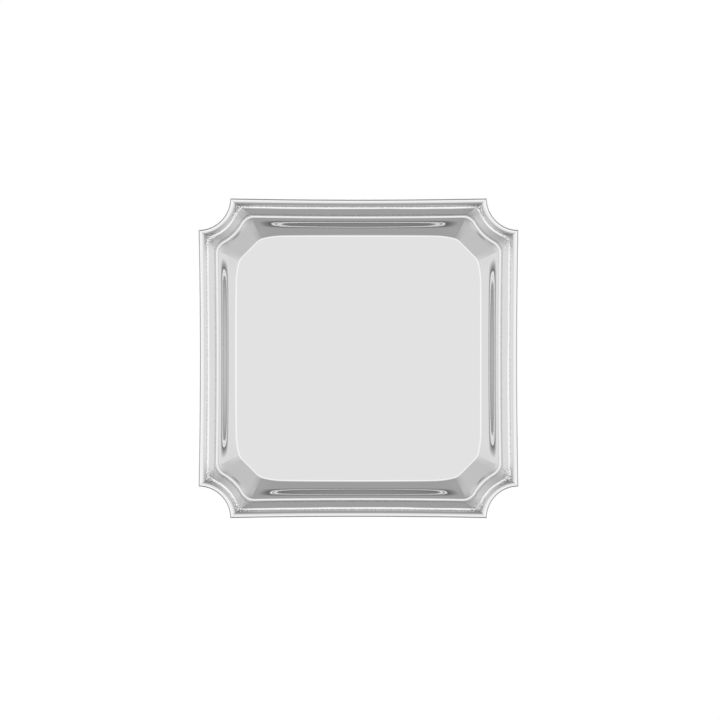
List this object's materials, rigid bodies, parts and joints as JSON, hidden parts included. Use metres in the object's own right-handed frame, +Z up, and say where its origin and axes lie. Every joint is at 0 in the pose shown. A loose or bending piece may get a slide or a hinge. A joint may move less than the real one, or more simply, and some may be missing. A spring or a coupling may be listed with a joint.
{
  "type": "square salver",
  "caption": "Square silver tray with incurved corners, a moulded border, a beaded lip, a shallow flat-bottomed well and low cast feet, for serving or presenting small things.",
  "frame": {"origin": "on the table under the middle of the salver", "axes": "+Z up, out of the well; +Y towards the back edge; +X towards the right edge"},
  "size_m": [0.203, 0.203, 0.0195],
  "materials": {
    "body": "polished",
    "border": "polished",
    "bead": "polished",
    "feet": "polished"
  },
  "bodies": {
    "root": {"tray_body": "body", "border_back": "border", "border_right": "border", "border_front": "border", "border_left": "border", "border_corner_back_right": "border", "border_corner_front_right": "border", "border_corner_front_left": "border", "border_corner_back_left": "border", "well_bead": "bead", "foot_back_right": "feet", "foot_front_right": "feet", "foot_front_left": "feet", "foot_back_left": "feet"}
  },
  "joints": []
}
